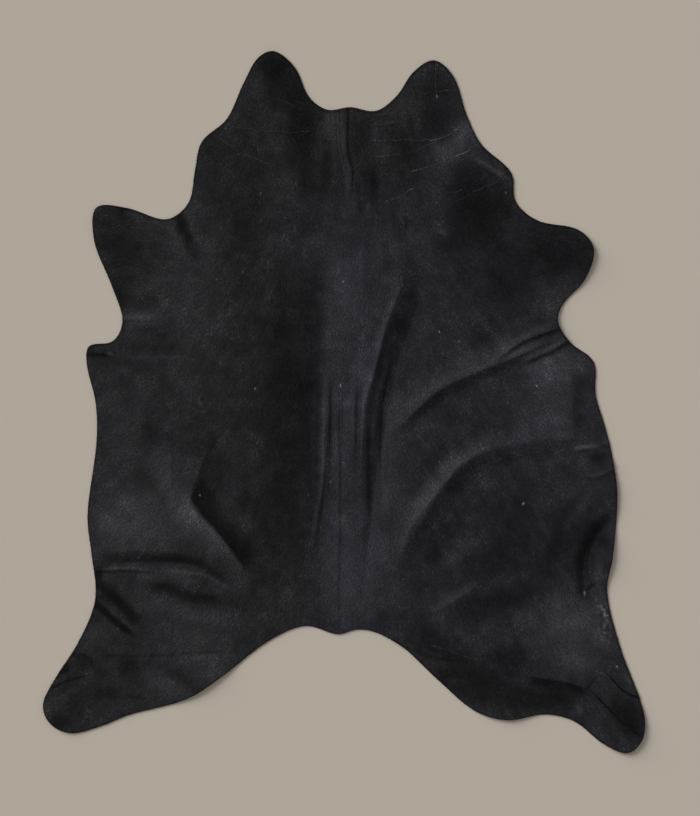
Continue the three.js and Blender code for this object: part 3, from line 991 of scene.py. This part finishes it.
tones = np.full(HAIRS, BASE_TONE)
for name, steps, *shape in TONES:
    tones += TONE_STEP * steps * patch(places, *shape)
# each line adds painted sheen or painted shade along its fold, crease or crack
for name, steps, left, right, *points in LINES:
    # a line is shaded as a ridge 1 mm high is shaped, which gives a share of 0 to 1
    tones += TONE_STEP * steps / MM * ridge(places, 1, left, right, LINE_ROUNDNESS, LINE_FOOT, *points)
# painted shade darkens the hair near the knife line
tones -= TONE_STEP * RIM_DARK * bump(gap, RIM_REACH)
mottle = LOCK_SHARE * locks + BAND_SHARE * bands + SMUDGE_SHARE * smudges + BLOTCH_SHARE * blotches
mottle += HAIR_SHARE * chance.standard_normal(HAIRS)
tones += mottle * np.clip(1 - CALM * (tones - BASE_TONE), *CALM_RANGE)
tones[is_pale] = pale_tones + PALE_HAIR_SHARE * chance.standard_normal(len(pale_tones))
print("tones from", round(tones.min(), 2), "to", round(tones.max(), 2), "mean", round(tones.mean(), 2))

# %% Painted cool sheen
# the cool, bluish tint is painted sheen, most along the spine and on the right side
COOL_SHARE = 0.15  # outside the patches
# patch, share of cool hair, half length, half width, degrees from the tail towards the right, middle
COOL_PATCHES = [
    ("spine", 0.6, 900, 210, 0, (40, 0)),
    ("right side", 0.3, 1300, 700, 0, (560, -50)),
    ("right belly", 0.25, 420, 420, 0, (560, -60)),
    ("right thigh", 0.3, 260, 220, 40, (680, -690)),
    ("right neck", 0.4, 260, 160, 0, (330, 760)),
    ("withers", 0.35, 240, 330, 0, (60, 490)),
    ("loin", 0.35, 330, 240, 0, (70, -560)),
]
cool = np.full(HAIRS, COOL_SHARE)
for name, share, *shape in COOL_PATCHES:
    cool += share * patch(places, *shape)
is_cool = chance.random(HAIRS) < cool
print("cool hair:", round(is_cool.mean(), 2))

# %% [markdown]
# The coat
#
# Each lock leans a few degrees off the skin and is rolled a little, so that neighbours catch the light
# differently. In a few places the hair is ruffled. At the knife line a lock may only reach a little past
# the edge, as on a trimmed hide. The coat is split into four pieces from rump to neck, which keeps each
# mesh small. Their texture map isn't a picture of the surface but a palette: across is the tone, plain
# dye in the first half and painted cool sheen in the second, and up is root to tip.

# %% Ruffled hair
RUFFLE_SIZE = 9 * MM
# ruffled hair, tone, half length, half width, degrees from the tail towards the right, middle
RUFFLES = [
    ("left side", 0.5, 62, 50, 0, (-439, -9)),
    ("right of the neck", 0.5, 32, 28, 0, (186, 549)),
    ("right flank", 0.42, 120, 42, 15, (786, -650)),
]

ruffled = sum(tone * patch(places, *shape) for name, tone, *shape in RUFFLES)
ruffled *= noise_around_zero(places, RUFFLE_SIZE, RUFFLE_SEED)
print(np.count_nonzero(ruffled), "ruffled hairs")

# %% Locks as slim triangles
HAIR_LENGTH = 6.5 * MM
LENGTH_RANGE = (0.75, 1.2)
HAIR_WIDTH = 1.3 * MM
OVERHANG = 0.5 * MM
LEAST_OUT = 0.05
# degrees
LEAN = 8
LEAN_SPREAD = 2.5
LEAN_RANGE = (2, 20)
TURN_SPREAD = 9
BAND_TURN = 40
RUFFLE_TURN = 220
ROLL_SPREAD = 16

turn = np.radians(TURN_SPREAD * chance.standard_normal(HAIRS) + BAND_TURN * bands + RUFFLE_TURN * ruffled)
level = np.stack([
    ways[:, 0] * np.cos(turn) - ways[:, 1] * np.sin(turn),
    ways[:, 0] * np.sin(turn) + ways[:, 1] * np.cos(turn),
    np.zeros(HAIRS),
], axis=1)
level = unit(level - normals * np.sum(level * normals, axis=1)[:, None])
lean = np.radians(np.clip(LEAN + LEAN_SPREAD * chance.standard_normal(HAIRS), *LEAN_RANGE))[:, None]
roll = np.radians(ROLL_SPREAD * chance.standard_normal(HAIRS))[:, None]
lengths = HAIR_LENGTH * chance.uniform(*LENGTH_RANGE, HAIRS)
out_share = np.maximum(np.sum(level[:, :2] * outward, axis=1), LEAST_OUT)
lengths = np.minimum(lengths, (gap + OVERHANG) / out_share)[:, None]

beside = np.cross(normals, level) * np.cos(roll) + normals * np.sin(roll)
tips = roots + lengths * (level * np.cos(lean) + normals * np.sin(lean))
tips[:, 2] = np.maximum(tips[:, 2], lift(tips[:, :2]) + SKIN)
blades = np.stack([roots - beside * HAIR_WIDTH / 2, tips, roots + beside * HAIR_WIDTH / 2], axis=1)
print("locks up to", round(tips[:, 2].max(), 4), "m high, from", round(blades[:, :, 2].min(), 4))

# %% Shading and palette place of each lock
BLADE_SHARE = 0.15  # of its shading, how much follows its own roll and not the skin
TONE_LIMITS = (0.01, 0.99)
TINT_SPAN = 0.49  # of the palette, what the plain dye and the painted cool sheen each take
COOL_START = 0.5  # of the palette, where the painted cool sheen begins
HALF_TONE = 0.0015  # half the breadth of a lock on the palette

shading = unit((1 - BLADE_SHARE) * normals + BLADE_SHARE * np.cross(level, beside))
palette = np.clip(tones + ruffled, *TONE_LIMITS) * TINT_SPAN + COOL_START * is_cool
palette_map = np.zeros((HAIRS, 3, 2))
palette_map[:, :, 0] = palette[:, None] + np.array((-HALF_TONE, 0, HALF_TONE))
palette_map[:, 1, 1] = 1
print("palette used from", round(palette.min(), 2), "to", round(palette.max(), 2))

# %% Finish of the hair
# tone, brightness
TONE_STEPS = [(0.0, 0.0045), (0.2, 0.009), (0.4, 0.018), (0.6, 0.036), (0.8, 0.072), (1.0, 0.3)]
PLAIN_DYE = (1.0, 0.995, 1.04)
# bluish tint of the painted cool sheen
COOL_SHEEN = (1.0, 0.955, 1.36)
ROOT_SHADE = 0.7
TIP_SHADE = 1.1
HAIR_ROUGHNESS = (0.55, 0.42)
HAIR_GLOSS = 0.06
PALETTE = "OFBake"

coat = bpy.data.materials.new("black cow hair")
coat.use_nodes = True
tree = coat.node_tree
shader = tree.nodes["Principled BSDF"]
shader.inputs["Specular IOR Level"].default_value = HAIR_GLOSS
palette_node = tree.nodes.new("ShaderNodeUVMap")
palette_node.uv_map = PALETTE
split = tree.nodes.new("ShaderNodeSeparateXYZ")
dyes = tree.nodes.new("ShaderNodeValToRGB")
ramp = dyes.color_ramp
ramp.elements.remove(ramp.elements[1])
for start, dye in [(0.0, PLAIN_DYE), (COOL_START, COOL_SHEEN)]:
    for tone, brightness in TONE_STEPS:
        position = start + TINT_SPAN * tone
        stop = ramp.elements[0] if position == 0 else ramp.elements.new(position)
        stop.color = (*[brightness * part for part in dye], 1)
shade = tree.nodes.new("ShaderNodeMapRange")
shade.inputs["To Min"].default_value = ROOT_SHADE
shade.inputs["To Max"].default_value = TIP_SHADE
shaded = tree.nodes.new("ShaderNodeVectorMath")
shaded.operation = "SCALE"
gloss = tree.nodes.new("ShaderNodeMapRange")
gloss.inputs["To Min"].default_value, gloss.inputs["To Max"].default_value = HAIR_ROUGHNESS
link(
    tree,
    (palette_node, "UV", split, "Vector"),
    (split, "X", dyes, "Fac"),
    (split, "Y", shade, "Value"),
    (split, "Y", gloss, "Value"),
    (dyes, "Color", shaded, 0),
    (shade, "Result", shaded, "Scale"),
    (shaded, "Vector", shader, "Base Color"),
    (gloss, "Result", shader, "Roughness"),
)
print("palette of", len(ramp.elements), "dye steps")

# %% Four pieces of coat
COAT_PIECES = ["hair_rump", "hair_flanks", "hair_shoulders", "hair_neck"]


def coat_piece(name, members):
    """One mesh of loose triangles, with the palette as its texture map."""
    count = len(members)
    mesh = bpy.data.meshes.new(name)
    mesh.vertices.add(3 * count)
    mesh.vertices.foreach_set("co", blades[members].ravel())
    mesh.loops.add(3 * count)
    mesh.loops.foreach_set("vertex_index", np.arange(3 * count))
    mesh.polygons.add(count)
    mesh.polygons.foreach_set("loop_start", np.arange(0, 3 * count, 3))
    mesh.update(calc_edges=True)
    layer = mesh.uv_layers.new(name=PALETTE)
    layer.uv.foreach_set("vector", palette_map[members].ravel())
    mesh.normals_split_custom_set_from_vertices(np.repeat(shading[members], 3, axis=0))
    mesh.materials.append(coat)
    return new_object(name, mesh)


from_rump = np.argsort(roots[:, 1], kind="stable")
quarters = np.array_split(from_rump, len(COAT_PIECES))
coat_pieces = [coat_piece(name, members) for name, members in zip(COAT_PIECES, quarters)]
print("triangles of each piece:", [len(piece.data.polygons) for piece in coat_pieces])

# %% [markdown]
# The rug's pieces on one body
#
# The skin stands for the imported solid, and the coat rides with it.

for piece in [hide, *coat_pieces]:
    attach(piece, "root")
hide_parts("hide")
